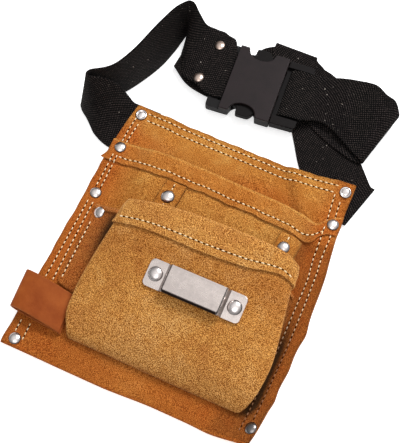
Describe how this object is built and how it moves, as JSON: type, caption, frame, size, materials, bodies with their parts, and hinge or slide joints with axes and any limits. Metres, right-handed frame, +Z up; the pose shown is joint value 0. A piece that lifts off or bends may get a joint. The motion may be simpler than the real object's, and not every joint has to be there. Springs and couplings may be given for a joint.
{
  "type": "tool belt",
  "caption": "Suede tool pouch with a deep main pocket, a gusseted front pocket, a steel tape clip and a hammer loop, sewn and riveted to a webbing waist belt with a side-release buckle.",
  "frame": {"origin": "middle of the whole object's outline, on the surface it lies on", "axes": "+Z up from the surface, out of the pouch's front; +Y up the pouch from its bottom fold to the belt; +X to the right of the pouch seen from its front"},
  "size_m": [0.2842, 0.3772, 0.0561],
  "materials": {
    "suede": "napped split suede, matt",
    "split_suede": "paler napped split suede, matt",
    "smooth_leather": "smooth reddish-brown strap leather",
    "webbing": "black woven webbing, matt",
    "buckle_plastic": "dark moulded plastic, satin",
    "clip_steel": "bright plated steel",
    "rivet_steel": "bright plated steel"
  },
  "bodies": {
    "root": {"back_panel": "suede", "main_pocket": "suede", "front_pocket": "split_suede", "tool_strip_left": "suede", "tool_strip_right": "suede", "hammer_loop": "smooth_leather", "tape_clip": "clip_steel", "belt_left": "webbing", "belt_right": "webbing", "buckle_female": "buckle_plastic", "buckle_male": "buckle_plastic", "rivet_top_left": "rivet_steel", "rivet_rim_left": "rivet_steel", "rivet_side_left": "rivet_steel", "rivet_bottom_left": "rivet_steel", "rivet_top_right": "rivet_steel", "rivet_rim_right": "rivet_steel", "rivet_bottom_right": "rivet_steel", "rivet_gusset_left": "rivet_steel", "rivet_strip_left": "rivet_steel", "rivet_strip_right": "rivet_steel", "clip_rivet_left": "rivet_steel", "clip_rivet_right": "rivet_steel", "belt_rivet_upper": "rivet_steel", "belt_rivet_lower": "rivet_steel"}
  },
  "joints": []
}
